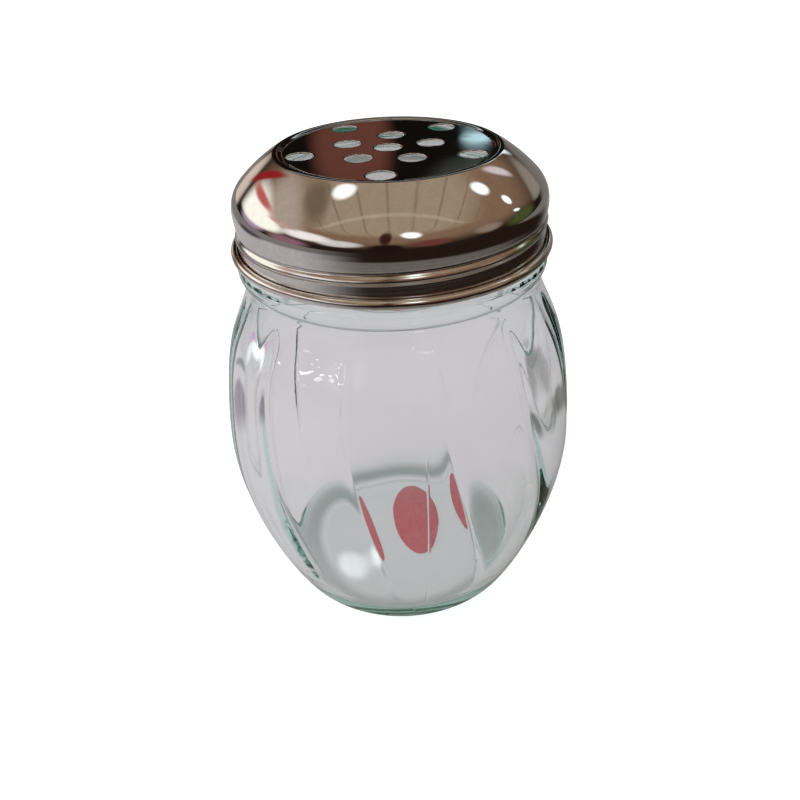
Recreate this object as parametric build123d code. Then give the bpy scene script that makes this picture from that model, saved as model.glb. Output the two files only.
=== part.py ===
from build123d import *
from math import acos, cos, degrees, radians, sin, sqrt
import os

# Glass cheese shaker: a swirled glass jar, its screw-on perforated steel lid, and a plain label
# under the base. Sizes are in millimetres and angles in degrees. The origin is the centre of the
# jar's base, +Z is up, and the front of the shaker faces -Y. Angles about the jar are counted
# from the front towards +X.

# Neck finish that the lid screws on
finish_radius = 26.3
finish_wall = 3.0
finish_height = 12.6
rim_rounding = 1.2
thread_pitch = 3.5
thread_depth = 1.05
thread_half_width = 0.75
thread_crest_half_width = 0.26
jar_thread_turns = 1.15
jar_thread_start_angle = -200.0
jar_thread_drop = 4.8

# Collar bead under the lid
collar_overhang = 2.35
collar_height = 4.1
collar_side_height = 2.25
collar_rounding = 1.1
crease_depth = 0.25

# Jar body, by the crowns of its lobes: radii, and heights that each start at the one below
foot_radius = 20.7
heel_radius = 6.0
heel_angle = 62.0
lower_wall_inset = 3.65
lower_wall_height = 16.0
belly_radius = 34.95
belly_rise = 18.0
waist_inset = 0.95
waist_rise = 14.0
shoulder_inset = 3.65
shoulder_rise = 12.0
throat_swell = 1.4
throat_rise = 6.0
neck_swell = 0.9
neck_rise = 4.8
neck_slope = 82.0

# Swirled lobes and the narrow grooves between them, which turn back on their way up
lobe_count = 12
groove_depth = 0.6
groove_sharpness = 8
groove_front_angle = -1.3
swirl_angle = 15.7
swirl_height = 62.0
groove_start_height = 4.0
groove_rise = 9.0
groove_top_gap = 1.3
groove_top_fade = 6.0

# Glass thickness, inner floor and hollow underside
glass_wall = 2.8
bore_blend_radius = 4.0
floor_height = 6.4
floor_crown = 0.8
floor_corner_radius = 1.5
foot_ring_width = 2.0
recess_depth = 1.6

# Lid, one pressed steel sheet
sheet = 0.4
thread_clearance = 0.3
seat_clearance = 0.3
collar_gap = 0.3
curl_radius = 0.88
curl_turn = 285.0
band_taper = 6.0
band_height = 2.1
shoulder_bend_radius = 5.5
shoulder_top_slope = 46.0
dome_radius = 30.0
crest_radius = 1.4
crest_slope = 30.0
rolled_groove_radius = 0.55
rolled_bead_radius = 0.5
rolled_bead_height = 0.2
lid_thread_turns = 0.92
thread_flank_gap = 0.25

# Punched holes of the lid's panel: one in the middle and two staggered rings
hole_diameter = 4.75
hole_edge_gap = 0.4
ring_hole_count = 5
outer_ring_angle = -4.8

# Plain oval label under the base
label_length = 24.0
label_width = 10.6
label_thickness = 0.2
label_offset_x = 2.9
label_offset_y = 3.5
label_turn = 4.0

# Places that follow from the sizes above
FRONT = -90.0
belly_height = lower_wall_height + belly_rise
waist_height = belly_height + waist_rise
shoulder_height = waist_height + shoulder_rise
throat_height = shoulder_height + throat_rise
neck_height = throat_height + neck_rise
neck_radius = finish_radius + neck_swell
collar_top = neck_height + collar_height
rim_height = collar_top + finish_height
bore_radius = finish_radius - finish_wall
skirt_radius = finish_radius + thread_depth + thread_clearance


def smooth_step(value):
    """Ease from 0 to 1 as the value goes from 0 to 1."""
    held = min(1.0, max(0.0, value))
    return held * held * (3.0 - 2.0 * held)


def turned_solid(outline):
    """Spin a closed outline, drawn as radius and height, about the jar's axis."""
    return revolve(Plane.XZ * make_face(outline), axis=Axis.Z)


def body_side():
    """The heel arc and the wall curve of the jar's outer side, as radius and height."""
    heel = JernArc((foot_radius, 0), (1, 0), heel_radius, heel_angle)
    wall_points = [
        heel @ 1,
        (belly_radius - lower_wall_inset, lower_wall_height),
        (belly_radius, belly_height),
        (belly_radius - waist_inset, waist_height),
        (belly_radius - shoulder_inset, shoulder_height),
        (neck_radius + throat_swell, throat_height),
        (neck_radius, neck_height),
    ]
    neck_tangent = (-cos(radians(neck_slope)), sin(radians(neck_slope)))
    wall = Spline(wall_points, tangents=[heel % 1, neck_tangent])
    return heel, wall


def groove_depth_at(height):
    """Depth of the grooves at a height: they fade out at the heel and at the neck."""
    groove_end_height = neck_height - groove_top_gap
    lower = (height - groove_start_height) / groove_rise
    upper = (groove_end_height - height) / groove_top_fade
    return groove_depth * smooth_step(lower) * smooth_step(upper)


def lobed_section(radius, height):
    """Closed cross-section of the body: rounded lobes that dip steeply into their grooves."""
    depth = groove_depth_at(height)
    half_pitch = 180.0 / lobe_count
    start = FRONT + groove_front_angle - swirl_angle * smooth_step(height / swirl_height)
    crown_point_count = 5
    edges = []
    for lobe in range(lobe_count):
        points = []
        for step in range(-crown_point_count, crown_point_count + 1):
            place = sin(radians(90.0 * step / crown_point_count))
            angle = radians(start + (2 * lobe + 1 + place) * half_pitch)
            reach = radius - depth * abs(place) ** groove_sharpness
            points.append((reach * cos(angle), reach * sin(angle), height))
        edges.append(Spline(points))
    return Face(Wire(edges))


def lobed_body():
    """The solid barrel of the jar, lofted through lobed sections from the foot to the neck."""
    heel, wall = body_side()
    heel_section_count = 3
    wall_section_count = 13
    side_points = [heel @ (step / heel_section_count) for step in range(heel_section_count + 1)]
    side_points += [wall @ (step / wall_section_count) for step in range(1, wall_section_count + 1)]
    return loft([lobed_section(point.X, point.Y) for point in side_points])


def neck_finish():
    """The turned neck: a crease, the rounded collar bead and the straight thread finish."""
    root = (neck_radius - crease_depth, neck_height - crease_depth)
    collar_radius = finish_radius + collar_overhang
    side_start = (collar_radius, neck_height + collar_side_height)
    underside = TangentArc(side_start, root, tangent=(0, -1))
    collar_side = Line(side_start, (collar_radius, collar_top - collar_rounding))
    collar_round = JernArc(collar_side @ 1, (0, 1), collar_rounding, 90)
    ledge = Line(collar_round @ 1, (finish_radius, collar_top))
    wall = Line(ledge @ 1, (finish_radius, rim_height - rim_rounding))
    rim_round = JernArc(wall @ 1, (0, 1), rim_rounding, 90)
    rim = Line(rim_round @ 1, (0, rim_height))
    axis_line = Line(rim @ 1, (0, shoulder_height))
    base = Line(axis_line @ 1, (root[0], shoulder_height))
    inside = Line(base @ 1, root)
    return turned_solid(
        [underside, collar_side, collar_round, ledge, wall, rim_round, rim, axis_line, base, inside]
    )


def thread_rib(radius, turns, start_angle, front_height, section):
    """Sweep a closed section, drawn as outward and upward, along a right-hand screw thread."""
    helix = Helix(pitch=thread_pitch, height=thread_pitch * turns, radius=radius)
    frame = Plane(origin=helix @ 0, x_dir=(1, 0, 0), z_dir=helix % 0)
    rib = sweep(frame * section, path=helix, is_frenet=True)
    start_height = front_height + thread_pitch * start_angle / 360.0
    return Pos(0, 0, start_height) * Rot(0, 0, FRONT + start_angle) * rib


def jar_thread():
    """The raised thread on the glass finish."""
    root_depth = 0.4
    profile = Polyline(
        (-root_depth, -thread_half_width - root_depth / 2),
        (thread_depth, -thread_crest_half_width),
        (thread_depth, thread_crest_half_width),
        (-root_depth, thread_half_width + root_depth / 2),
        close=True,
    )
    front_height = rim_height - jar_thread_drop
    path = (finish_radius, jar_thread_turns, jar_thread_start_angle, front_height)
    return thread_rib(*path, make_face(profile))


def jar_cavity():
    """The space inside the jar: a crowned floor, the wall's inner side and the bore."""
    wall = body_side()[1]
    side_point_count = 8
    followed_share = 0.9
    inner_points = []
    for step in range(side_point_count):
        place = followed_share * step / (side_point_count - 1)
        point = wall @ place
        along = wall % place
        inner_points.append((point.X - glass_wall * along.Y, point.Y + glass_wall * along.X))
    side = Spline(inner_points)
    lean = side % 1
    bend_reach = bore_blend_radius * (1.0 - lean.Y)
    throat_length = (bore_radius + bend_reach - (side @ 1).X) / lean.X
    throat = Line(side @ 1, side @ 1 + lean * throat_length)
    bend = JernArc(throat @ 1, lean, bore_blend_radius, -degrees(acos(lean.Y)))
    bore = Line(bend @ 1, (bore_radius, rim_height))
    mouth = Line(bore @ 1, (0, rim_height))
    axis_line = Line(mouth @ 1, (0, (side @ 0).Y))
    bottom = Line(axis_line @ 1, side @ 0)
    space = turned_solid([side, throat, bend, bore, mouth, axis_line, bottom])
    floor_block = Pos(0, 0, floor_height / 2) * Cylinder(belly_radius, floor_height)
    space = space - floor_block
    floor_face = space.faces().sort_by(Axis.Z)[0]
    crown_radius = (bore_radius**2 + floor_crown**2) / (2 * floor_crown)
    crown = Pos(0, 0, floor_height + floor_crown - crown_radius) * Sphere(crown_radius)
    return fillet(floor_face.edges(), floor_corner_radius) - crown


def base_recess(gap=0.0):
    """The shallow domed hollow under the base, inside the flat ring that the jar stands on."""
    ring_inner = foot_radius - foot_ring_width
    ball_radius = (ring_inner**2 + recess_depth**2) / (2 * recess_depth)
    return Pos(0, 0, recess_depth - ball_radius) * Sphere(ball_radius - gap)


def glass_jar():
    """The whole jar in one piece of glass."""
    jar = lobed_body() + neck_finish() + jar_thread()
    return jar - jar_cavity() - base_recess()


def shoulder_bend_height():
    """Height of the centre of the lid's shoulder bend: the bend rests on the jar's rim."""
    taper = radians(band_taper)
    widest = skirt_radius + sheet + band_height * sin(taper)
    center_radius = widest - shoulder_bend_radius * cos(taper)
    aside = finish_radius - rim_rounding - center_radius
    reach = shoulder_bend_radius - sheet - rim_rounding - seat_clearance
    return rim_height - rim_rounding - sqrt(reach**2 - aside**2)


def lid_middle_line():
    """Middle line of the lid's sheet, as radius and height, from the curl up to the axis."""
    half = sheet / 2
    skirt_middle = skirt_radius + half
    curl_middle = curl_radius - half
    curl_center = (skirt_middle + curl_middle, collar_top + collar_gap + curl_radius)
    curl = CenterArc(curl_center, curl_middle, 180.0 + curl_turn, -curl_turn)
    taper = radians(band_taper)
    bend_middle = shoulder_bend_radius - half
    band_top = shoulder_bend_height() - bend_middle * sin(taper)
    skirt = Line(curl @ 1, (skirt_middle, band_top - band_height * cos(taper)))
    band = Line(skirt @ 1, (skirt_middle + band_height * sin(taper), band_top))
    shoulder_turn = 90.0 - shoulder_top_slope + band_taper
    shoulder = JernArc(band @ 1, band % 1, bend_middle, shoulder_turn)
    dome = JernArc(shoulder @ 1, shoulder % 1, dome_radius - half, shoulder_top_slope - crest_slope)
    crest = JernArc(dome @ 1, dome % 1, crest_radius - half, 2 * crest_slope)
    fall = JernArc(crest @ 1, crest % 1, crest_radius - half, -crest_slope)
    panel = Line(fall @ 1, (0, (fall @ 1).Y))
    return [curl, skirt, band, shoulder, dome, crest, fall, panel]


def lid_shell():
    """The pressed sheet before its thread is rolled and its holes are punched."""
    line = Wire(lid_middle_line())
    outer = line.offset_2d(sheet / 2, side=Side.RIGHT, closed=False)
    inner = line.offset_2d(sheet / 2, side=Side.LEFT, closed=False)
    outer_ends = sorted([outer @ 0, outer @ 1], key=lambda point: point.X)
    inner_ends = sorted([inner @ 0, inner @ 1], key=lambda point: point.X)
    axis_line = Line(outer_ends[0], inner_ends[0])
    cut_edge = Line(outer_ends[1], inner_ends[1])
    return turned_solid([*outer.edges(), cut_edge, *inner.edges(), axis_line])


def lid_thread(shell):
    """Roll the thread into the skirt: a groove outside, a rib inside and a bead below."""
    skirt_outer = skirt_radius + sheet
    rib_radius = rolled_groove_radius + sheet
    jar_flank_height = rim_height - jar_thread_drop - thread_half_width
    front_height = jar_flank_height - thread_flank_gap - rib_radius
    turn = (lid_thread_turns, -180.0 * lid_thread_turns)
    core = Cylinder(skirt_outer - sheet / 2, 3 * rim_height)
    rib = thread_rib(skirt_outer, *turn, front_height, Circle(rib_radius))
    groove = thread_rib(skirt_outer, *turn, front_height, Circle(rolled_groove_radius))
    bead_center = skirt_outer + rolled_bead_height - rolled_bead_radius
    bead = thread_rib(bead_center, *turn, front_height - rib_radius, Circle(rolled_bead_radius))
    return shell + (rib & core) + (bead - core) - groove


def hole_centers():
    """Centres of the punched holes: the middle one and the two staggered rings."""
    panel_radius = (lid_middle_line()[-1] @ 0).X
    outer_ring_radius = panel_radius - hole_edge_gap - hole_diameter / 2
    pitch = 360.0 / ring_hole_count
    rings = [
        (outer_ring_radius, outer_ring_angle),
        (outer_ring_radius / 2, outer_ring_angle + pitch / 2),
    ]
    centers = [(0.0, 0.0)]
    for radius, first_angle in rings:
        for index in range(ring_hole_count):
            angle = radians(FRONT + first_angle + index * pitch)
            centers.append((radius * cos(angle), radius * sin(angle)))
    return centers


def shaker_lid():
    """The perforated screw-on lid."""
    lid = lid_thread(lid_shell())
    panel_height = (lid_middle_line()[-1] @ 1).Y
    for x, y in hole_centers():
        lid = lid - Pos(x, y, panel_height) * Cylinder(hole_diameter / 2, 2 * sheet)
    return lid


def base_label():
    """The plain oval label, which follows the domed hollow under the base."""
    oval = Ellipse(label_width / 2, label_length / 2)
    place = Pos(label_offset_x, label_offset_y, 0) * Rot(0, 0, label_turn)
    column = place * extrude(oval, amount=2 * recess_depth)
    return (column & base_recess()) - base_recess(label_thickness)


os.makedirs("parts", exist_ok=True)
export_step(glass_jar(), "parts/glass_jar.step")
export_step(shaker_lid(), "parts/shaker_lid.step")
export_step(base_label(), "parts/base_label.step")
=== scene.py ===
import math

import bpy
import numpy as np
from mathutils import Euler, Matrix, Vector
from mathutils.geometry import delaunay_2d_cdt


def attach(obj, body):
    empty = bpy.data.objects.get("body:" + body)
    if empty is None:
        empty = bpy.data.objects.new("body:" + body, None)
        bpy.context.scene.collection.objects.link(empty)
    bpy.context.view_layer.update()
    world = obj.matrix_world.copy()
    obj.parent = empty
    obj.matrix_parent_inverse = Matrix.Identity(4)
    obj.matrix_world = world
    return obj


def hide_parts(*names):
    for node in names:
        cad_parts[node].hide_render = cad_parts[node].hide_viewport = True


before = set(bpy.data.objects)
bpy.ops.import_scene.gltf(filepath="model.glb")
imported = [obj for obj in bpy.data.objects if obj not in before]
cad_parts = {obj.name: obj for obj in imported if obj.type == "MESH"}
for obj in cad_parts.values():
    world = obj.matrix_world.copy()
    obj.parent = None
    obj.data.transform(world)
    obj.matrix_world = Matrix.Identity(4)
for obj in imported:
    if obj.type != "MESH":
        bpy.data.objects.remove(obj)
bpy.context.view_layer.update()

# Lengths below are in millimetres and angles in degrees, unless a comment says otherwise. Angles
# about the jar are counted from the front, -Y, towards +X.
MM = 0.001
FULL_TURN = 360.0

# Camera, fitted to the lid's rings and the jar's outline in the photo
camera_place = (0.33, -140.4, 131.9)
camera_pitch = 33.3
camera_roll = -2.3
camera_lens = 36.0
camera_sensor = 36.0

# Jar body
lobe_count = 12
lobe_columns = 24
front_crease_angle = -1.3
swirl_angle = 15.7
swirl_height = 62.0
neck_height = 70.8
crease_reach = 0.6
crease_sharpness = 8
crease_rounding = 0.022
heel_softening = 0.1
heel_softening_top = 27.0
crease_start = 7.0
crease_rise = 22.0
crease_end = 69.5
crease_fade = 6.0
seam_angle = 7.6
seam_half_width = 0.3
foot_radius = 20.7
foot_ring_width = 2.0
recess_depth = 1.6
heel_radius = 6.0
heel_angle = 62.0
side_low = (31.3, 16.0)
belly_radius = 34.93
belly_height = 34.0
side_high = (34.0, 48.0)
shoulder_low = (31.3, 60.0)
shoulder_high = (28.6, 66.0)
neck_radius = 27.2
neck_slope = 82.0
neck_crease = 0.25
glass_wall = 2.8
floor_height = 6.4
floor_crown = 0.8
floor_rounding = 1.5
bore_radius = 23.3
bore_blend = 4.0
rim_height = 87.5
rim_rounding = 1.2

# Points along the wall that the jar's hollow is worked out from, the last one below its bore, and
# the step at which they are kept
cavity_points = 400
cavity_last = 359
cavity_stride = 7
floor_corner_end = -88.0

# Neck finish of the jar
collar_radius = 28.65
collar_side = 73.05
collar_top = 74.9
collar_rounding = 1.1
finish_radius = 26.3
thread_pitch = 3.5
thread_front_height = 82.7
thread_reach = 1.05
thread_half_width = 0.78
thread_flank = 0.5
thread_start = -200.0
thread_end = 214.0
thread_taper = 14.0

# Lid sheet, by its middle line
sheet = 0.4
lid_columns = 288
curl_center = (28.53, 76.08)
curl_middle = 0.68
curl_turn = 285.0
curl_end_bulge = 0.06
curl_wave = 0.03
curl_wave_top = 0.3
curl_wave_fade = 0.6
skirt_middle = 27.85
band_taper = 6.0
band_height = 2.1
bend_center = (22.80, 83.525)
bend_middle = 5.3
dome_middle = 29.8
dome_start_slope = 46.0
crest_slope = 30.0
crest_middle = 1.2
groove_front_height = 80.75
groove_reach = 0.36
groove_half_width = 0.62
bead_drop = 1.05
bead_reach = 0.27
bead_half_width = 0.72
groove_end_angle = 165.6
groove_taper = 12.0
groove_sheet_band = 0.5
groove_above_curl = 0.8

# Punched holes in the lid's panel
hole_radius = 2.375
hole_sides = 60
outer_ring_radius = 15.5
outer_ring_angle = -4.8
inner_ring_radius = 7.75
ring_hole_count = 5
burr_rounding = 0.12
burr_middle = (0.03, 0.035)

# Mesh of the lid's panel: rings of points round each hole and inside the edge, and a grid between
net_hole_rings = (0.35, 0.8)
net_hole_margin = 1.3
net_edge_near = 0.12
net_edge_far = 0.45
net_edge_margin = 1.0
net_spacing = 0.9
net_row_share = 0.866
net_merge = 1e-6

# Label under the base
label_half_width = 5.3
label_half_length = 12.0
label_thickness = 0.2
label_glue_gap = 0.01
label_bevel = 0.03
label_edge_inset = 0.02
label_offset = (2.9, 3.5)
label_turn = 4.0
label_sides = 96
label_rings = 16

# The seam's share of the glass's relief, and the heights at which the lid's satin skirt begins
seam_relief = 0.3
satin_from = 83.8
satin_full = 82.6

# Floor, in metres from its middle: the reaches over which a tone gives way to the next, and the
# painted contact shadow's soft edges. The turn is how far a place leans from left to right, as a
# share.
table_pale_reach = (0.26, 0.42)
table_dark_reach = (0.148, 0.172)
table_back = (0.15, 0.3)
table_slant = -0.78
table_turn = (-0.7, 0.5)
table_core = 0.05
contact_outside = (0.0265, 0.0225)
contact_inside = (0.0185, 0.0215)
spot_core = 0.4

# Room, by the upward part of a direction: where the walls lighten and where boards take over.
# Boards and beam lie overhead, and their places are slopes: how far aside or back for each unit up.
wall_rise = (0.1, 0.62)
board_rise = (0.68, 0.88)
lowest_up = 0.2
board_half_width = 0.11
board_shift = 0.02
board_joint = (0.006, 0.014)
joint_depth = 0.4
beam_place = 0.21
beam_edge = (0.03, 0.015)
beam_strength = 0.5
patch_front = 0.05
glass_haze = 0.75


def smooth_step(value):
    """Ease from 0 to 1 as the values go from 0 to 1."""
    held = np.clip(value, 0.0, 1.0)
    return held * held * (3.0 - 2.0 * held)


def line_points(start, end, count):
    """Points on a straight run, with its last point left to the next run."""
    share = np.arange(count)[:, None] / count
    return np.asarray(start) * (1.0 - share) + np.asarray(end) * share


def arc_points(center, radius, start, end, count):
    """Points on an arc, with its last point left to the next run."""
    angle = np.radians(start + (end - start) * np.arange(count) / count)
    return np.stack([center[0] + radius * np.cos(angle), center[1] + radius * np.sin(angle)], 1)


def spline_points(knots, start_way, end_way, count):
    """Points on a cubic curve through the knots that leaves and arrives in the given directions."""
    knots = np.asarray(knots, float)
    steps = np.linalg.norm(np.diff(knots, axis=0), axis=1)
    size = len(knots)
    system = np.zeros((size, size))
    known = np.zeros((size, 2))
    system[0, 0] = 1.0
    system[-1, -1] = 1.0
    known[0] = start_way
    known[-1] = end_way
    for i in range(1, size - 1):
        before, after = steps[i - 1], steps[i]
        system[i, i - 1:i + 2] = (after, 2.0 * (before + after), before)
        rise = after * (knots[i] - knots[i - 1]) / before + before * (knots[i + 1] - knots[i]) / after
        known[i] = 3.0 * rise
    ways = np.linalg.solve(system, known)
    places = np.concatenate([[0.0], np.cumsum(steps)])
    wanted = places[-1] * np.arange(count) / count
    run = np.clip(np.searchsorted(places, wanted, side="right") - 1, 0, size - 2)
    span = steps[run][:, None]
    t = ((wanted - places[run]) / steps[run])[:, None]
    curve = (2 * t**3 - 3 * t**2 + 1) * knots[run] + (t**3 - 2 * t**2 + t) * span * ways[run]
    curve += (3 * t**2 - 2 * t**3) * knots[run + 1] + (t**3 - t**2) * span * ways[run + 1]
    return curve


def jar_side(count):
    """The wall of the jar's outer side, from the heel up to the neck."""
    heel_end = math.radians(heel_angle)
    heel_top = (foot_radius + heel_radius * math.sin(heel_end), heel_radius * (1 - math.cos(heel_end)))
    knots = [
        heel_top,
        side_low,
        (belly_radius, belly_height),
        side_high,
        shoulder_low,
        shoulder_high,
        (neck_radius, neck_height),
    ]
    neck_lean = math.radians(neck_slope)
    start_way = (math.cos(heel_end), math.sin(heel_end))
    end_way = (-math.cos(neck_lean), math.sin(neck_lean))
    return spline_points(knots, start_way, end_way, count)


def jar_cavity():
    """The inner side of the jar, from its rim down the bore and the wall to the floor's middle."""
    wall = jar_side(cavity_points)
    way = np.gradient(wall, axis=0)
    way /= np.linalg.norm(way, axis=1)[:, None]
    inner = wall + glass_wall * np.stack([-way[:, 1], way[:, 0]], 1)
    inner = inner[:cavity_last + 1]
    lean = way[cavity_last]
    bend_angle = math.degrees(math.acos(lean[1]))
    bend_reach = bore_blend * (1.0 - lean[1])
    throat = (bore_radius + bend_reach - inner[-1, 0]) / lean[0]
    bend_start = inner[-1] + lean * throat
    bend_top = bend_start[1] + bore_blend * abs(lean[0])
    low_way = way[0]
    corner_rise = floor_rounding * (1.0 - low_way[0])
    above = inner[inner[:, 1] > floor_height + corner_rise]
    corner_center = (above[0, 0] - floor_rounding * low_way[1], floor_height + floor_rounding)
    corner_turn = -math.degrees(math.acos(low_way[1]))
    rim = arc_points((bore_radius + rim_rounding, rim_height - rim_rounding), rim_rounding, 90, 180, 8)
    bore = line_points((bore_radius, rim_height - rim_rounding), (bore_radius, bend_top), 12)
    bend_middle_point = (bore_radius + bore_blend, bend_top)
    bend = arc_points(bend_middle_point, bore_blend, 180, 180 + bend_angle, 8)
    side = above[::-1][::cavity_stride]
    floor_corner = arc_points(corner_center, floor_rounding, corner_turn, floor_corner_end, 10)
    inner_radius = corner_center[0]
    crown_radius = (inner_radius**2 + floor_crown**2) / (2 * floor_crown)
    reach = np.linspace(inner_radius, 0.0, 18)
    crown = floor_height + floor_crown - crown_radius + np.sqrt(crown_radius**2 - reach**2)
    floor = np.stack([reach, crown], 1)
    return np.concatenate([rim, bore, bend, side, floor_corner, floor])


def recess_height(reach):
    """Height of the domed hollow under the base, at distances from the axis."""
    ring_inner = foot_radius - foot_ring_width
    ball_radius = (ring_inner**2 + recess_depth**2) / (2 * recess_depth)
    return recess_depth - ball_radius + np.sqrt(ball_radius**2 - reach**2)


def jar_outside():
    """The outer side of the jar, from the middle of its underside up to the rim."""
    ring_inner = foot_radius - foot_ring_width
    reach = np.linspace(0.0, ring_inner, 24)[:-1]
    ceiling = np.stack([reach, recess_height(reach)], 1)
    foot = line_points((ring_inner, 0.0), (foot_radius, 0.0), 4)
    heel = arc_points((foot_radius, heel_radius), heel_radius, -90, -90 + heel_angle, 14)
    wall = jar_side(88)
    root = (neck_radius - neck_crease, neck_height - neck_crease)
    underside_rise = collar_side - root[1]
    underside_run = collar_radius - root[0]
    underside_radius = (underside_rise**2 + underside_run**2) / (2 * underside_run)
    underside_turn = math.degrees(math.asin(underside_rise / underside_radius))
    underside_center = (collar_radius - underside_radius, collar_side)
    underside = arc_points(underside_center, underside_radius, -underside_turn, 0, 12)
    side = line_points((collar_radius, collar_side), (collar_radius, collar_top - collar_rounding), 3)
    round_center = (collar_radius - collar_rounding, collar_top - collar_rounding)
    rounding = arc_points(round_center, collar_rounding, 0, 90, 8)
    ledge_start = (collar_radius - collar_rounding, collar_top)
    ledge = line_points(ledge_start, (finish_radius, collar_top), 4)
    finish_top = (finish_radius, rim_height - rim_rounding)
    finish = line_points((finish_radius, collar_top), finish_top, 42)
    rim_center = (finish_radius - rim_rounding, rim_height - rim_rounding)
    rim = arc_points(rim_center, rim_rounding, 0, 90, 8)
    rim_flat = line_points((rim_center[0], rim_height), (bore_radius + rim_rounding, rim_height), 2)
    body = np.concatenate([ceiling, foot, heel, wall])
    neck = np.concatenate([underside, side, rounding, ledge, finish, rim, rim_flat])
    return body, neck


def spin_to_mesh(points, closed_ends):
    """A mesh from rows of points round the axis, with a fan at each end where the rows close."""
    row_count, column_count = points.shape[:2]
    vertices = points.reshape(-1, 3)
    row, column = np.meshgrid(np.arange(row_count - 1), np.arange(column_count), indexing="ij")
    beside = (column + 1) % column_count
    corners = (row * column_count + column, row * column_count + beside)
    corners += ((row + 1) * column_count + beside, (row + 1) * column_count + column)
    faces = np.stack(corners, -1).reshape(-1, 4).tolist()
    if closed_ends:
        low, high = len(vertices), len(vertices) + 1
        ends = [points[0].mean(0), points[-1].mean(0)]
        vertices = np.concatenate([vertices, ends])
        last = (row_count - 1) * column_count
        for i in range(column_count):
            after = (i + 1) % column_count
            faces.append((low, after, i))
            faces.append((high, last + i, last + after))
    return vertices, faces


def new_piece(name, vertices, faces):
    """A smooth-shaded object, in metres, from points in millimetres."""
    mesh = bpy.data.meshes.new(name)
    mesh.from_pydata((np.asarray(vertices) * MM).tolist(), [], faces)
    mesh.validate()
    mesh.shade_smooth()
    piece = bpy.data.objects.new(name, mesh)
    bpy.context.scene.collection.objects.link(piece)
    return piece


def thread_bump(angle, height):
    """How far the jar's screw thread stands out of the finish, at angles and heights."""
    bump = np.zeros_like(height)
    for lap in (-1, 0, 1):
        place = angle + lap * FULL_TURN
        center = thread_front_height + thread_pitch * place / FULL_TURN
        across = smooth_step((thread_half_width - np.abs(height - center)) / thread_flank)
        run_in = smooth_step((place - thread_start) / thread_taper)
        run_out = smooth_step((thread_end - place) / thread_taper)
        bump = np.maximum(bump, thread_reach * across * run_in * run_out)
    return bump


def make_jar():
    """The glass jar as one closed surface, with its lobes, collar, thread and hollow inside."""
    body, neck = jar_outside()
    cavity = jar_cavity()
    rows = np.concatenate([body, neck, cavity])
    lobed = np.zeros(len(rows))
    lobed[:len(body)] = 1.0
    threaded = np.zeros(len(rows))
    threaded[len(body):len(body) + len(neck)] = 1.0
    radius, height = rows[1:-1, :1], rows[1:-1, 1:]
    lobed, threaded = lobed[1:-1, None], threaded[1:-1, None]
    step = np.arange(lobe_count * lobe_columns)
    place = -np.cos(np.pi * (step % lobe_columns) / lobe_columns)
    lobe_width = FULL_TURN / lobe_count
    angle = front_crease_angle + lobe_width * (step // lobe_columns + (place + 1.0) / 2.0)
    turn = -swirl_angle * smooth_step(height / swirl_height)
    angle = (angle[None, :] + turn + 180.0) % FULL_TURN - 180.0
    fade = smooth_step((height - crease_start) / crease_rise)
    fade = fade * smooth_step((crease_end - height) / crease_fade)
    rounding = crease_rounding + heel_softening * smooth_step(1.0 - height / heel_softening_top)
    beside_crease = np.hypot(1.0 - np.abs(place)[None, :], rounding)
    reach = radius - lobed * crease_reach * fade * (1.0 - beside_crease) ** crease_sharpness
    level = np.broadcast_to(height, angle.shape)
    reach = reach + threaded * thread_bump(angle, level)
    turned = np.radians(angle)
    points = np.stack([reach * np.sin(turned), -reach * np.cos(turned), level], -1)
    vertices, faces = spin_to_mesh(points, True)
    jar = new_piece("glass_jar_surface", vertices, faces)
    outer_side = np.concatenate([np.repeat(lobed[:, 0], points.shape[1]), (0.0, 0.0)])
    mark = jar.data.attributes.new("outer_side", "FLOAT", "POINT")
    mark.data.foreach_set("value", outer_side.astype(np.float32))
    return jar


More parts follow.
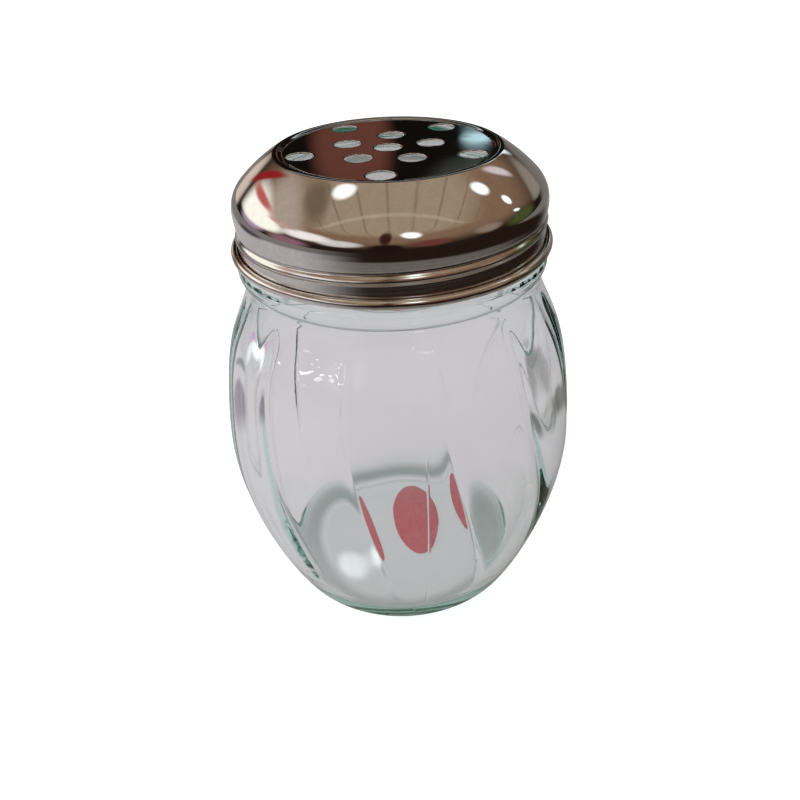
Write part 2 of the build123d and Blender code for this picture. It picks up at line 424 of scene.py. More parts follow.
def lid_middle_line():
    """Points and directions along the middle of the lid's sheet, from the curl to the panel."""
    runs = []

    def add_arc(center, radius, start, end, count):
        angle = np.radians(start + (end - start) * np.arange(count) / count)
        spin = 1.0 if end > start else -1.0
        spot = arc_points(center, radius, start, end, count)
        way = spin * np.stack([-np.sin(angle), np.cos(angle)], 1)
        runs.append(np.concatenate([spot, way], 1))

    def add_line(start, end, count):
        way = np.subtract(end, start) / np.linalg.norm(np.subtract(end, start))
        spot = line_points(start, end, count)
        runs.append(np.concatenate([spot, np.tile(way, (count, 1))], 1))

    taper = math.radians(band_taper)
    curl_start = 180.0 + curl_turn
    add_arc(curl_center, curl_middle, curl_start, 180.0, 36)
    band_top = (
        bend_center[0] + bend_middle * math.cos(taper),
        bend_center[1] - bend_middle * math.sin(taper),
    )
    band_low = (skirt_middle, band_top[1] - band_height * math.cos(taper))
    add_line((skirt_middle, curl_center[1]), band_low, 40)
    add_line(band_low, band_top, 12)
    bend_end = 90.0 - dome_start_slope
    add_arc(bend_center, bend_middle, -band_taper, bend_end, 18)
    bend_way = math.radians(bend_end)
    dome_start = (
        bend_center[0] + bend_middle * math.cos(bend_way),
        bend_center[1] + bend_middle * math.sin(bend_way),
    )
    dome_center = (
        dome_start[0] - dome_middle * math.cos(bend_way),
        dome_start[1] - dome_middle * math.sin(bend_way),
    )
    crest_angle = 90.0 - crest_slope
    add_arc(dome_center, dome_middle, bend_end, crest_angle, 16)
    crest_way = math.radians(crest_angle)
    crest_center = (
        dome_center[0] + (dome_middle - crest_middle) * math.cos(crest_way),
        dome_center[1] + (dome_middle - crest_middle) * math.sin(crest_way),
    )
    add_arc(crest_center, crest_middle, crest_angle, 180.0 - crest_angle, 16)
    fall_way = math.radians(180.0 - crest_angle)
    fall_center = (
        crest_center[0] + 2 * crest_middle * math.cos(fall_way),
        crest_center[1] + 2 * crest_middle * math.sin(fall_way),
    )
    add_arc(fall_center, crest_middle, -crest_angle, -90.0, 6)
    panel_edge = (fall_center[0], fall_center[1] - crest_middle)
    runs.append(np.array([[panel_edge[0], panel_edge[1], -1.0, 0.0]]))
    return np.concatenate(runs)


def rolled_thread(angle, height):
    """How far the lid's rolled thread moves the skirt: inward in its groove, outward on the bead."""
    run = smooth_step((groove_end_angle - np.abs(angle)) / groove_taper)
    groove_height = groove_front_height + thread_pitch * angle / FULL_TURN
    in_groove = smooth_step((groove_half_width - np.abs(height - groove_height)) / groove_half_width)
    bead_height = groove_height - bead_drop
    on_bead = smooth_step((bead_half_width - np.abs(height - bead_height)) / bead_half_width)
    return run * (bead_reach * on_bead - groove_reach * in_groove)


def hole_centers():
    """Centres of the punched holes: the middle one and the two staggered rings."""
    centers = [(0.0, 0.0)]
    pitch = FULL_TURN / ring_hole_count
    rings = ((outer_ring_radius, outer_ring_angle), (inner_ring_radius, outer_ring_angle + pitch / 2))
    for radius, first_angle in rings:
        for index in range(ring_hole_count):
            angle = math.radians(first_angle + index * pitch)
            centers.append((radius * math.sin(angle), -radius * math.cos(angle)))
    return np.array(centers)


def panel_net(edge_points):
    """Flat triangles between the panel's edge and its holes, and each hole's ring of points."""
    centers = hole_centers()
    turn = 2.0 * np.pi * np.arange(hole_sides) / hole_sides
    circle = np.stack([np.cos(turn), np.sin(turn)], 1)
    outline = [edge_points]
    for gap in (burr_rounding,) + net_hole_rings:
        for center in centers:
            outline.append(center + (hole_radius + gap) * circle)
    edge_radius = np.linalg.norm(edge_points[0])
    outline.append(edge_points * (1.0 - net_edge_near / edge_radius))
    outline.append(edge_points[::2] * (1.0 - net_edge_far / edge_radius))
    line_count = int(edge_radius / net_spacing) + 1
    grid = []
    for row in range(-line_count, line_count + 1):
        for column in range(-line_count, line_count + 1):
            across = (column + 0.5 * (row % 2)) * net_spacing
            grid.append((across, row * net_spacing * net_row_share))
    grid = np.array(grid)
    clear = np.linalg.norm(grid, axis=1) < edge_radius - net_edge_margin
    for center in centers:
        clear &= np.linalg.norm(grid - center, axis=1) > hole_radius + net_hole_margin
    points = np.concatenate(outline + [grid[clear]])
    edges = []
    place = 0
    for loop in outline[:1 + len(centers)]:
        edges += [(place + i, place + (i + 1) % len(loop)) for i in range(len(loop))]
        place += len(loop)
    net = delaunay_2d_cdt([Vector(point) for point in points], edges, [], 0, net_merge)
    flat = np.array([tuple(vertex) for vertex in net[0]])
    net_faces, net_sources = net[2], net[3]
    order = {}
    for new_index, sources in enumerate(net_sources):
        for old in sources:
            order[old] = new_index
    faces = []
    for face in net_faces:
        middle = flat[list(face)].mean(0)
        if np.min(np.linalg.norm(centers - middle, axis=1)) > hole_radius + burr_rounding / 2:
            faces.append(tuple(face))
    edge_count = len(edge_points)
    edge_order = [order[i] for i in range(edge_count)]
    rings = []
    for index in range(len(centers)):
        start = edge_count + index * hole_sides
        rings.append([order[start + i] for i in range(hole_sides)])
    return flat, faces, edge_order, rings


def make_lid():
    """The lid's pressed sheet as one closed surface, with its rolled thread and punched holes."""
    line = lid_middle_line()
    spot, way = line[:, :2], line[:, 2:]
    out = np.stack([way[:, 1], -way[:, 0]], 1)
    outside = (spot + out * sheet / 2)[::-1]
    inside = spot - out * sheet / 2
    cut_middle = spot[0] - way[0] * curl_end_bulge
    rows = np.concatenate([outside, cut_middle[None], inside])
    angle = FULL_TURN * np.arange(lid_columns)[None, :] / lid_columns - 180.0
    height = np.broadcast_to(rows[:, 1:], (len(rows), lid_columns))
    reach = np.broadcast_to(rows[:, :1], height.shape)
    in_sheet = np.abs(rows[:, :1] - skirt_middle) < groove_sheet_band
    on_skirt = in_sheet & (rows[:, 1:] > curl_center[1] + groove_above_curl)
    reach = reach + on_skirt * rolled_thread(angle, height)
    curl_share = smooth_step((curl_center[1] + curl_wave_top - height) / curl_wave_fade)
    turned = np.radians(angle)
    # Three waves of unlike length leave the rolled edge slightly uneven
    ripple = np.sin(17 * turned + 0.6) * 0.4 + np.sin(41 * turned + 2.0) * 0.3
    ripple = ripple + np.sin(73 * turned) * 0.3
    reach = reach - curl_share * curl_wave * (1.0 + ripple)
    points = np.stack([reach * np.sin(turned), -reach * np.cos(turned), height], -1)
    vertices, faces = spin_to_mesh(points, False)
    vertices = list(map(tuple, vertices))
    row_count = len(rows)
    flat, net_faces, edge_order, rings = panel_net(points[0, :, :2])
    panel_top = rows[0, 1]
    panel_bottom = rows[-1, 1]
    edge_rows = {panel_top: 0, panel_bottom: (row_count - 1) * lid_columns}
    starts = {}
    for level, edge_row in edge_rows.items():
        index_of = {}
        for i, new_index in enumerate(edge_order):
            index_of[new_index] = edge_row + i
        for i, (x, y) in enumerate(flat):
            if i not in index_of:
                index_of[i] = len(vertices)
                vertices.append((x, y, level))
        upward = level == panel_top
        for a, b, c in net_faces:
            face = (index_of[a], index_of[b], index_of[c])
            faces.append(face if upward else face[::-1])
        starts[level] = index_of
    lip = (burr_middle, (0.0, burr_rounding))
    for ring, center in zip(rings, hole_centers()):
        loops = [[starts[panel_top][i] for i in ring]]
        levels = [(aside, panel_top - drop) for aside, drop in lip]
        levels += [(aside, panel_bottom + drop) for aside, drop in reversed(lip)]
        for aside, level in levels:
            loop = []
            for i in ring:
                toward = flat[i] - center
                toward = center + toward / np.linalg.norm(toward) * (hole_radius + aside)
                loop.append(len(vertices))
                vertices.append((toward[0], toward[1], level))
            loops.append(loop)
        loops.append([starts[panel_bottom][i] for i in ring])
        for upper, lower in zip(loops, loops[1:]):
            for i in range(hole_sides):
                after = (i + 1) % hole_sides
                faces.append((upper[i], upper[after], lower[after], lower[i]))
    return new_piece("lid_sheet", vertices, faces)


def make_label():
    """The plain oval label: a thin pad that follows the domed hollow under the base."""
    angle = 2.0 * np.pi * np.arange(label_sides) / label_sides
    turn = math.radians(label_turn)
    edge_share = 1.0 - label_edge_inset / label_half_width
    top_shares = np.linspace(0.0, edge_share, label_rings)[1:]
    shares = np.concatenate([top_shares, [1.0, 1.0], top_shares[::-1]])
    upper = np.full(label_rings - 1, label_glue_gap)
    bevels = [label_glue_gap + label_bevel, label_thickness - label_bevel]
    lower = np.full(label_rings - 1, label_thickness)
    rows = []
    for share, gap in zip(shares, np.concatenate([upper, bevels, lower])):
        x = share * label_half_width * np.cos(angle)
        y = share * label_half_length * np.sin(angle)
        across = label_offset[0] + x * math.cos(turn) - y * math.sin(turn)
        deep = label_offset[1] + x * math.sin(turn) + y * math.cos(turn)
        height = recess_height(np.hypot(across, deep)) - gap
        rows.append(np.stack([across, deep, height], 1))
    vertices, faces = spin_to_mesh(np.stack(rows[::-1]), True)
    return new_piece("plain_label", vertices, faces)


class Nodes:
    """Short calls for building one material's or world's nodes."""

    def __init__(self, tree):
        self.tree = tree
        tree.nodes.clear()

    def add(self, kind, **settings):
        node = self.tree.nodes.new(kind)
        for key, value in settings.items():
            setattr(node, key, value)
        return node

    def link(self, source, target):
        self.tree.links.new(source, target)

    def feed(self, socket, value):
        """Give a socket its value, either a constant or another node's output."""
        if isinstance(value, (int, float, tuple)):
            socket.default_value = value
        else:
            self.link(value, socket)

    def math(self, operation, first, second=None, third=None, clamp=False):
        node = self.add("ShaderNodeMath", operation=operation, use_clamp=clamp)
        for socket, value in zip(node.inputs, (first, second, third)):
            if value is not None:
                self.feed(socket, value)
        return node.outputs[0]

    def ramp(self, value, low, high, to_low=0.0, to_high=1.0):
        """Ease from one value to another as the input goes from low to high."""
        node = self.add("ShaderNodeMapRange", interpolation_type="SMOOTHSTEP")
        self.link(value, node.inputs["Value"])
        node.inputs["From Min"].default_value = low
        node.inputs["From Max"].default_value = high
        node.inputs["To Min"].default_value = to_low
        node.inputs["To Max"].default_value = to_high
        return node.outputs["Result"]

    def mix(self, share, first, second):
        node = self.add("ShaderNodeMix", data_type="RGBA")
        for name, value in (("Factor", share), ("A", first), ("B", second)):
            socket = next(found for found in node.inputs if found.name == name and found.enabled)
            self.feed(socket, value)
        return next(found for found in node.outputs if found.enabled)

    def noise(self, vector, scale, detail=2.0, roughness=0.5):
        node = self.add("ShaderNodeTexNoise")
        node.inputs["Scale"].default_value = scale
        node.inputs["Detail"].default_value = detail
        node.inputs["Roughness"].default_value = roughness
        self.link(vector, node.inputs["Vector"])
        return node.outputs["Fac"]

    def stretch(self, vector, scale):
        node = self.add("ShaderNodeMapping")
        node.inputs["Scale"].default_value = scale
        self.link(vector, node.inputs["Vector"])
        return node.outputs["Vector"]

    def bump(self, shader, height, strength, distance):
        """Give a shader's surface a light relief, with its distance in metres."""
        node = self.add("ShaderNodeBump")
        node.inputs["Strength"].default_value = strength
        node.inputs["Distance"].default_value = distance
        self.link(height, node.inputs["Height"])
        self.link(node.outputs["Normal"], shader.inputs["Normal"])


def new_material(name):
    """An empty node material and the calls that build it."""
    material = bpy.data.materials.new(name)
    material.use_nodes = True
    return material, Nodes(material.node_tree)


def glass_material():
    """Clear pressed glass with a faint green body and a slightly uneven surface."""
    material, nodes = new_material("jar_glass_clear")
    place = nodes.add("ShaderNodeTexCoord").outputs["Object"]
    glass = nodes.add("ShaderNodeBsdfPrincipled")
    glass.inputs["Base Color"].default_value = (1.0, 1.0, 1.0, 1.0)
    glass.inputs["Transmission Weight"].default_value = 1.0
    glass.inputs["Roughness"].default_value = 0.0
    glass.inputs["IOR"].default_value = 1.52
    broad = nodes.noise(nodes.stretch(place, (1.0, 1.0, 0.5)), scale=90.0, detail=1.0)
    fine = nodes.noise(place, scale=420.0, detail=2.0)
    uneven = nodes.math("MULTIPLY_ADD", fine, 0.03, broad)
    across_seam = nodes.add("ShaderNodeVectorMath", operation="DOT_PRODUCT")
    nodes.link(place, across_seam.inputs[0])
    seam_turn = math.radians(seam_angle)
    across_seam.inputs[1].default_value = (math.cos(seam_turn), math.sin(seam_turn), 0.0)
    off_seam = nodes.math("ABSOLUTE", across_seam.outputs["Value"])
    seam = nodes.ramp(off_seam, seam_half_width * MM, 0.0)
    outer_side = nodes.add("ShaderNodeAttribute", attribute_name="outer_side").outputs["Fac"]
    seam = nodes.math("MULTIPLY", seam, outer_side)
    uneven = nodes.math("MULTIPLY_ADD", seam, seam_relief, uneven)
    nodes.bump(glass, uneven, strength=0.35, distance=0.0003)
    clear = nodes.add("ShaderNodeBsdfTransparent")
    clear.inputs["Color"].default_value = (0.9, 0.92, 0.91, 1.0)
    path = nodes.add("ShaderNodeLightPath")
    choice = nodes.add("ShaderNodeMixShader")
    nodes.link(path.outputs["Is Shadow Ray"], choice.inputs[0])
    nodes.link(glass.outputs[0], choice.inputs[1])
    nodes.link(clear.outputs[0], choice.inputs[2])
    depth = nodes.add("ShaderNodeVolumeAbsorption")
    depth.inputs["Color"].default_value = (0.5, 0.81, 0.73, 1.0)
    depth.inputs["Density"].default_value = 34.0
    output = nodes.add("ShaderNodeOutputMaterial")
    nodes.link(choice.outputs[0], output.inputs["Surface"])
    nodes.link(depth.outputs[0], output.inputs["Volume"])
    return material


def steel_material():
    """Stainless steel sheet: polished on the dome and panel, satin with fine lines on the skirt."""
    material, nodes = new_material("lid_steel_sheet")
    place = nodes.add("ShaderNodeTexCoord").outputs["Object"]
    split = nodes.add("ShaderNodeSeparateXYZ")
    nodes.link(place, split.inputs[0])
    height = split.outputs["Z"]
    satin = nodes.ramp(height, satin_from * MM, satin_full * MM)
    fine_lines = nodes.stretch(place, (30.0, 30.0, 5200.0))
    lines = nodes.noise(fine_lines, scale=1.0, detail=3.0, roughness=0.6)
    smudge = nodes.noise(place, scale=110.0, detail=3.0, roughness=0.6)
    fine = nodes.noise(place, scale=900.0, detail=2.0, roughness=0.6)
    polished = nodes.ramp(smudge, 0.35, 0.75, to_low=0.025, to_high=0.085)
    brushed = nodes.ramp(lines, 0.3, 0.7, to_low=0.1, to_high=0.17)
    rough = nodes.add("ShaderNodeMix", data_type="FLOAT")
    nodes.link(satin, rough.inputs["Factor"])
    nodes.link(polished, rough.inputs["A"])
    nodes.link(brushed, rough.inputs["B"])
    steel = nodes.add("ShaderNodeBsdfPrincipled")
    tone = nodes.mix(nodes.ramp(fine, 0.3, 0.8), (0.72, 0.70, 0.68, 1.0), (0.78, 0.77, 0.76, 1.0))
    nodes.link(tone, steel.inputs["Base Color"])
    steel.inputs["Metallic"].default_value = 1.0
    nodes.link(rough.outputs[0], steel.inputs["Roughness"])
    relief = nodes.math("MULTIPLY", lines, satin)
    relief = nodes.math("MULTIPLY_ADD", smudge, 0.35, relief)
    nodes.bump(steel, relief, strength=0.12, distance=0.0001)
    output = nodes.add("ShaderNodeOutputMaterial")
    nodes.link(steel.outputs[0], output.inputs["Surface"])
    return material


def label_material():
    """Plain red coated paper with a faint fibre grain."""
    material, nodes = new_material("label_red_paper")
    place = nodes.add("ShaderNodeTexCoord").outputs["Object"]
    grain = nodes.noise(place, scale=1400.0, detail=4.0, roughness=0.7)
    cloud = nodes.noise(place, scale=160.0, detail=2.0)
    tone = nodes.mix(nodes.ramp(grain, 0.3, 0.75), (0.82, 0.05, 0.085, 1.0), (0.95, 0.13, 0.17, 1.0))
    faded = nodes.ramp(cloud, 0.55, 0.8, to_high=0.35)
    tone = nodes.mix(faded, tone, (0.92, 0.22, 0.25, 1.0))
    paper = nodes.add("ShaderNodeBsdfPrincipled")
    nodes.link(tone, paper.inputs["Base Color"])
    paper.inputs["Roughness"].default_value = 0.42
    nodes.bump(paper, grain, strength=0.2, distance=0.0001)
    output = nodes.add("ShaderNodeOutputMaterial")
    nodes.link(paper.outputs[0], output.inputs["Surface"])
    return material


def table_tone(nodes, place, reach):
    """What metal mirrors of the floor: pale on the left, dark on the right, by distance."""
    split = nodes.add("ShaderNodeSeparateXYZ")
    nodes.link(place, split.inputs[0])
    side, deep = split.outputs["X"], split.outputs["Y"]
    lean = nodes.math("MULTIPLY_ADD", deep, table_slant, side)
    lean = nodes.math("DIVIDE", lean, nodes.math("MAXIMUM", reach, table_core))
    far = nodes.ramp(reach, *table_pale_reach)
    pale = nodes.mix(far, (0.52, 0.5, 0.5, 1.0), (0.24, 0.22, 0.21, 1.0))
    pale = floor_spot(nodes, place, pale, (0.09, 0.07, 0.1), (-0.34, 0.14), 0.14)
    edge = nodes.ramp(reach, *table_dark_reach)
    dark = nodes.mix(edge, (0.2, 0.18, 0.16, 1.0), (0.02, 0.011, 0.007, 1.0))
    dark = nodes.mix(nodes.ramp(deep, *table_back), dark, (0.2, 0.18, 0.165, 1.0))
    return nodes.mix(nodes.ramp(lean, *table_turn), pale, dark)


def tone_below(nodes, place, reach):
    """What glass shows of the floor: pale grey, with soft spots, a painted shadow of the jar, a
    painted contact shadow and painted glints and pools of light.
    """
    below = (0.53, 0.475, 0.5, 1.0)
    # Four dark spots in a row, a painted shadow of the jar on the floor, make the curved band in the
    # glass on the right
    for center in ((0.067, 0.089), (0.08, 0.07), (0.092, 0.05), (0.101, 0.029)):
        below = floor_spot(nodes, place, below, (0.05, 0.045, 0.035), center, 0.019)
    below = floor_spot(nodes, place, below, (0.12, 0.07, 0.12), (-0.104, 0.056), 0.032)
    below = floor_spot(nodes, place, below, (0.1, 0.11, 0.11), (-0.165, 0.097), 0.024)
    # A painted pool of light: a spot brighter than white, seen as a bright streak in the glass on the
    # left
    below = floor_spot(nodes, place, below, (1.3, 1.3, 1.35), (-0.1, 0.105), 0.022)
    below = floor_spot(nodes, place, below, (0.5, 0.15, 0.42), (-0.105, 0.132), 0.018)
    # Painted glints: bright flecks, broken up by noise, laid over one soft spot
    painted_glints = nodes.ramp(nodes.noise(place, scale=230.0, detail=1.0), 0.6, 0.66)
    below = floor_spot(nodes, place, below, (1.2, 1.2, 1.2), (-0.036, 0.088), 0.02, painted_glints)
    # The painted contact shadow is a soft grey ring around the foot
    outside = nodes.ramp(reach, *contact_outside)
    inside = nodes.ramp(reach, *contact_inside)
    contact = nodes.math("MULTIPLY", outside, inside)
    below = nodes.mix(contact, below, (0.23, 0.23, 0.23, 1.0))
    # A painted highlight: a small spot far brighter than white, seen as a glint in the heel
    return floor_spot(nodes, place, below, (3.4, 3.4, 3.4), (-0.0185, -0.0345), 0.0075)


def before_diffuse(nodes, path):
    """1 for rays that haven't yet bounced off a surface lit in the ordinary way, and else 0."""
    return nodes.math("LESS_THAN", path.outputs["Diffuse Depth"], 0.5)


def make_floor():
    """A wide pale floor that reads white to the camera and keeps the object's shadow."""
    half = 3.0
    mesh = bpy.data.meshes.new("pale_floor")
    corners = [(-half, -half, 0.0), (half, -half, 0.0), (half, half, 0.0), (-half, half, 0.0)]
    mesh.from_pydata(corners, [], [(0, 1, 2, 3)])
    floor = bpy.data.objects.new("pale_floor", mesh)
    bpy.context.scene.collection.objects.link(floor)
    material, nodes = new_material("floor_white")
    place = nodes.add("ShaderNodeTexCoord").outputs["Object"]
    distance = nodes.add("ShaderNodeVectorMath", operation="LENGTH")
    nodes.link(place, distance.inputs[0])
    reach = distance.outputs["Value"]
    diffuse = nodes.add("ShaderNodeBsdfDiffuse")
    path = nodes.add("ShaderNodeLightPath")
    seen_through = path.outputs["Is Transmission Ray"]
    near = nodes.mix(seen_through, (0.62, 0.62, 0.62, 1.0), (0.12, 0.115, 0.12, 1.0))
    nodes.link(near, diffuse.inputs["Color"])
    # To rays through the glass the floor glows with its pale grey and the painted shadows, glints and
    # pools of light laid over it
    glow = nodes.add("ShaderNodeEmission")
    shown = nodes.mix(seen_through, (0.55, 0.55, 0.55, 1.0), tone_below(nodes, place, reach))
    nodes.link(shown, glow.inputs["Color"])
    strength = nodes.math("ADD", path.outputs["Is Camera Ray"], seen_through, clamp=True)
    nodes.link(strength, glow.inputs["Strength"])
    both = nodes.add("ShaderNodeAddShader")
    nodes.link(diffuse.outputs[0], both.inputs[0])
    nodes.link(glow.outputs[0], both.inputs[1])
    mirrored = nodes.add("ShaderNodeEmission")
    nodes.link(table_tone(nodes, place, reach), mirrored.inputs["Color"])
    straight = nodes.math("SUBTRACT", 1.0, seen_through)
    straight = nodes.math("MULTIPLY", straight, before_diffuse(nodes, path))
    choice = nodes.add("ShaderNodeMixShader")
    nodes.link(nodes.math("MULTIPLY", path.outputs["Is Glossy Ray"], straight), choice.inputs[0])
    nodes.link(both.outputs[0], choice.inputs[1])
    nodes.link(mirrored.outputs[0], choice.inputs[2])
    output = nodes.add("ShaderNodeOutputMaterial")
    nodes.link(choice.outputs[0], output.inputs["Surface"])
    mesh.materials.append(material)


def floor_spot(nodes, place, tone, color, center, radius, broken=None):
    """Lay a soft round spot of colour, whole or broken up, over the floor's tone, in metres."""
    away = nodes.add("ShaderNodeVectorMath", operation="DISTANCE")
    nodes.link(place, away.inputs[0])
    away.inputs[1].default_value = center + (0.0,)
    share = nodes.ramp(away.outputs["Value"], radius, spot_core * radius)
    if broken:
        share = nodes.math("MULTIPLY", share, broken)
    return nodes.mix(share, tone, color + (1.0,))


def direction(azimuth, elevation):
    """The unit vector towards an azimuth, from the front towards +X, and an elevation."""
    across = math.cos(math.radians(elevation))
    turn = math.radians(azimuth)
    return (across * math.sin(turn), -across * math.cos(turn), math.sin(math.radians(elevation)))


def room_patch(nodes, way, room, color, azimuth, elevation, width, height, soft, tilt=0.0):
    """Lay a soft-edged oval of colour over the room, around a direction, sized in degrees."""
    aim = Vector(direction(azimuth, elevation))
    across = aim.cross(Vector((0.0, 0.0, 1.0))).normalized()
    upward = across.cross(aim)
    lean = math.radians(tilt)
    first = across * math.cos(lean) + upward * math.sin(lean)
    second = upward * math.cos(lean) - across * math.sin(lean)
    reach = []
    for axis, size in ((first, width), (second, height)):
        dot = nodes.add("ShaderNodeVectorMath", operation="DOT_PRODUCT")
        nodes.link(way, dot.inputs[0])
        dot.inputs[1].default_value = axis / math.sin(math.radians(size))
        reach.append(nodes.math("MULTIPLY", dot.outputs["Value"], dot.outputs["Value"]))
    facing = nodes.add("ShaderNodeVectorMath", operation="DOT_PRODUCT")
    nodes.link(way, facing.inputs[0])
    facing.inputs[1].default_value = aim
    inside = nodes.ramp(nodes.math("ADD", reach[0], reach[1]), 1.0 + soft, 1.0 - soft)
    share = nodes.math("MULTIPLY", inside, nodes.ramp(facing.outputs["Value"], 0.0, patch_front))
    return nodes.mix(share, room, color + (1.0,))


def make_world():
    """White to the camera, a plain soft light, and a simple room for glass and metal to show."""
    world = bpy.data.worlds.new("studio")
    world.use_nodes = True
    bpy.context.scene.world = world
    world.cycles.sampling_method = "NONE"
    nodes = Nodes(world.node_tree)
    way = nodes.add("ShaderNodeTexCoord").outputs["Generated"]
    room = make_room(nodes, way)
    path = nodes.add("ShaderNodeLightPath")
    seen_through = path.outputs["Is Transmission Ray"]
    shiny = nodes.math("ADD", path.outputs["Is Glossy Ray"], seen_through, clamp=True)
    shiny = nodes.math("MULTIPLY", shiny, before_diffuse(nodes, path))
    plain = nodes.mix(path.outputs["Is Camera Ray"], (0.8, 0.8, 0.8, 1.0), (1.0, 1.0, 1.0, 1.0))
    through = nodes.mix(glass_haze, room, (0.56, 0.545, 0.56, 1.0))
    mirrored = nodes.mix(seen_through, room, through)
    seen = nodes.mix(shiny, plain, mirrored)
    background = nodes.add("ShaderNodeBackground")
    nodes.link(seen, background.inputs["Color"])
    output = nodes.add("ShaderNodeOutputWorld")
    nodes.link(background.outputs[0], output.inputs["Surface"])


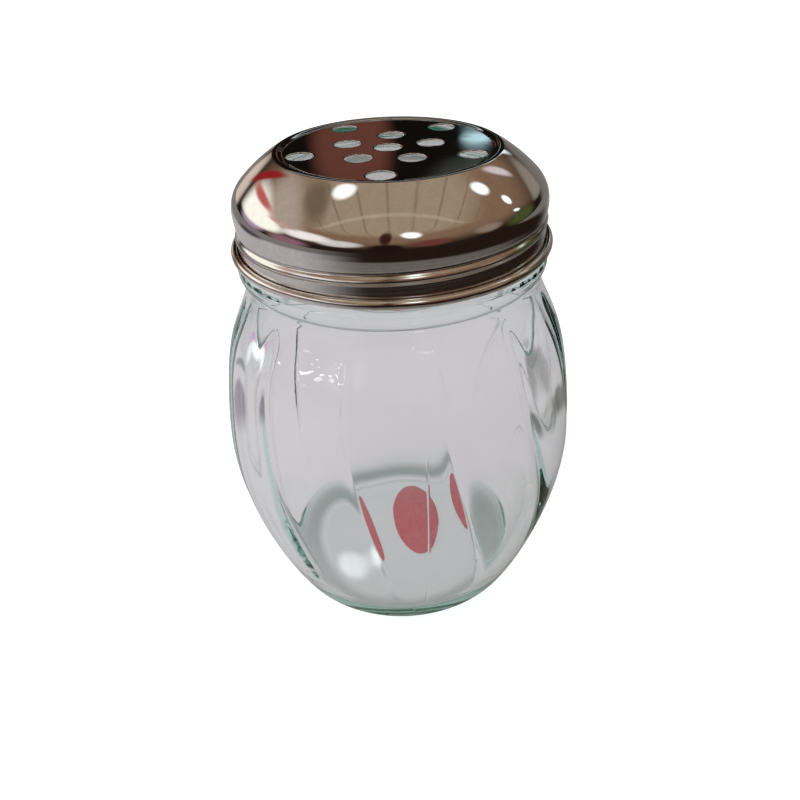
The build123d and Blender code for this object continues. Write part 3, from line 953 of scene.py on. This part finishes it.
def make_room(nodes, way):
    """A dark surround under pale overhead boards, with soft bright and dull shapes around it."""
    split = nodes.add("ShaderNodeSeparateXYZ")
    nodes.link(way, split.inputs[0])
    side, deep, up = split.outputs
    held_up = nodes.math("MAXIMUM", up, lowest_up)
    along = nodes.math("DIVIDE", side, held_up)
    joint = nodes.math("PINGPONG", nodes.math("ADD", along, board_shift), board_half_width)
    joint = nodes.ramp(joint, *board_joint, to_low=1.0, to_high=0.0)
    gap = nodes.math("MULTIPLY", joint, joint_depth)
    boards = nodes.mix(gap, (0.40, 0.31, 0.22, 1.0), (0.12, 0.08, 0.05, 1.0))
    wall = nodes.mix(nodes.ramp(up, *wall_rise), (0.02, 0.012, 0.009, 1.0), (0.26, 0.16, 0.1, 1.0))
    beam = nodes.math("ADD", nodes.math("DIVIDE", deep, held_up), beam_place)
    beam = nodes.ramp(nodes.math("ABSOLUTE", beam), *beam_edge, to_high=beam_strength)
    boards = nodes.mix(beam, boards, (0.6, 0.5, 0.38, 1.0))
    room = nodes.mix(nodes.ramp(up, *board_rise), wall, boards)
    room = room_patch(nodes, way, room, (0.5, 0.41, 0.35), -108, 40, 26, 10, 0.9)
    room = room_patch(nodes, way, room, (0.2, 0.14, 0.09), -108, 57, 15, 6, 0.9)
    # Behind, with the few things that the lid's flat panel mirrors
    room = room_patch(nodes, way, room, (0.75, 0.62, 0.53), -150, 3, 10, 8, 0.8)
    room = room_patch(nodes, way, room, (0.2, 0.18, 0.165), 150, 0, 16, 9, 0.7)
    room = room_patch(nodes, way, room, (0.006, 0.005, 0.004), 180, 30, 26, 29, 0.4)
    room = room_patch(nodes, way, room, (0.14, 0.05, 0.035), -177.3, 15.5, 2.6, 4.0, 0.6)
    room = room_patch(nodes, way, room, (0.05, 0.055, 0.045), 173.5, 18.5, 3.5, 2.0, 0.6)
    room = room_patch(nodes, way, room, (0.6, 0.9, 1.0), 173.9, 15.3, 1.0, 0.4, 0.8)
    room = room_patch(nodes, way, room, (0.5, 0.58, 0.6), 180, 36, 22, 3, 0.6)
    # Bright soft shapes on the left, with red strips between them
    room = room_patch(nodes, way, room, (0.8, 0.75, 0.72), -38, 22, 15, 9, 0.7)
    room = room_patch(nodes, way, room, (0.3, 0.15, 0.19), -76, 4, 16, 9, 0.8)
    room = room_patch(nodes, way, room, (0.5, 0.36, 0.5), -113, 6, 14, 8, 0.8)
    room = room_patch(nodes, way, room, (1.3, 1.28, 1.15), -112, 20, 26, 13, 0.5)
    room = room_patch(nodes, way, room, (1.15, 1.08, 1.06), -66, 28, 18, 10, 0.7)
    room = room_patch(nodes, way, room, (0.7, 0.4, 0.38), -95, 34, 14, 2.0, 0.8)
    room = room_patch(nodes, way, room, (0.6, 0.14, 0.13), -129, 26, 15, 1.8, 0.8, -34)
    room = room_patch(nodes, way, room, (0.32, 0.018, 0.022), -143.5, 22, 13, 2.0, 0.7, -71)
    # Dark and dull shapes in front and on the right
    room = room_patch(nodes, way, room, (0.17, 0.05, 0.045), 28, 20, 13, 9, 0.9)
    room = room_patch(nodes, way, room, (0.05, 0.018, 0.012), -5, 43, 3.6, 20, 0.6)
    room = room_patch(nodes, way, room, (0.018, 0.008, 0.006), -4, 12, 12, 13, 0.6)
    room = room_patch(nodes, way, room, (0.32, 0.24, 0.19), 73, 21, 10, 9, 0.9)
    room = room_patch(nodes, way, room, (0.075, 0.095, 0.03), 103, 9, 14, 10, 0.9)
    room = room_patch(nodes, way, room, (0.3, 0.26, 0.22), 138, 13, 12, 6, 0.8)
    room = room_patch(nodes, way, room, (0.8, 0.7, 0.75), 137, 33, 2.5, 7, 0.7)
    # Small bright spots
    room = room_patch(nodes, way, room, (1.9, 2.0, 1.9), 17.5, 50, 5.0, 9, 1.0)
    room = room_patch(nodes, way, room, (1.9, 1.9, 1.8), -120, 68.5, 5.6, 4.4, 1.0)
    room = room_patch(nodes, way, room, (2.0, 2.2, 2.2), 118, 48, 3.6, 3.8, 1.0)
    room = room_patch(nodes, way, room, (2.0, 2.2, 2.2), 115, 34.9, 2.0, 2.4, 1.0)
    room = room_patch(nodes, way, room, (1.5, 1.8, 1.7), 107.2, 24.6, 2.4, 3.0, 1.0)
    room = room_patch(nodes, way, room, (0.75, 0.9, 0.85), 152.6, 30.5, 2.5, 5, 0.9)
    room = room_patch(nodes, way, room, (1.0, 1.2, 1.25), 154, 18, 2.0, 6, 0.9)
    return room


def make_lamp(name, place, target, size, energy):
    """A soft square lamp aimed at a point, in metres, which metal and glass don't show."""
    light = bpy.data.lights.new(name, "AREA")
    light.size = size
    light.energy = energy
    lamp = bpy.data.objects.new(name, light)
    lamp.location = place
    lamp.rotation_euler = (Vector(target) - Vector(place)).to_track_quat("-Z", "Y").to_euler()
    lamp.visible_glossy = False
    lamp.visible_transmission = False
    bpy.context.scene.collection.objects.link(lamp)


def make_camera():
    """The camera at the photo's viewing angle."""
    camera = bpy.data.objects.new("camera", bpy.data.cameras.new("camera"))
    camera.data.lens = camera_lens
    camera.data.sensor_width = camera_sensor
    camera.data.clip_start = 0.01
    camera.location = Vector(camera_place) * MM
    tilt = Euler((math.radians(90.0 - camera_pitch), 0.0, 0.0)).to_matrix()
    roll = Euler((0.0, 0.0, math.radians(camera_roll))).to_matrix()
    camera.rotation_euler = (tilt @ roll).to_euler()
    bpy.context.scene.collection.objects.link(camera)
    bpy.context.scene.camera = camera


make_camera()
make_floor()
make_world()
make_lamp("key_lamp", place=(-0.45, -0.25, 0.7), target=(0.0, 0.0, 0.04), size=0.35, energy=6.0)

jar = make_jar()
jar.data.materials.append(glass_material())
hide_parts("glass_jar")
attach(jar, "jar")

lid = make_lid()
lid.data.materials.append(steel_material())
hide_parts("shaker_lid")
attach(lid, "lid")

label = make_label()
label.data.materials.append(label_material())
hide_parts("base_label")
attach(label, "jar")

scene = bpy.context.scene
scene.view_settings.view_transform = "Standard"
scene.cycles.max_bounces = 40
scene.cycles.transmission_bounces = 32
scene.cycles.glossy_bounces = 24
scene.cycles.transparent_max_bounces = 24
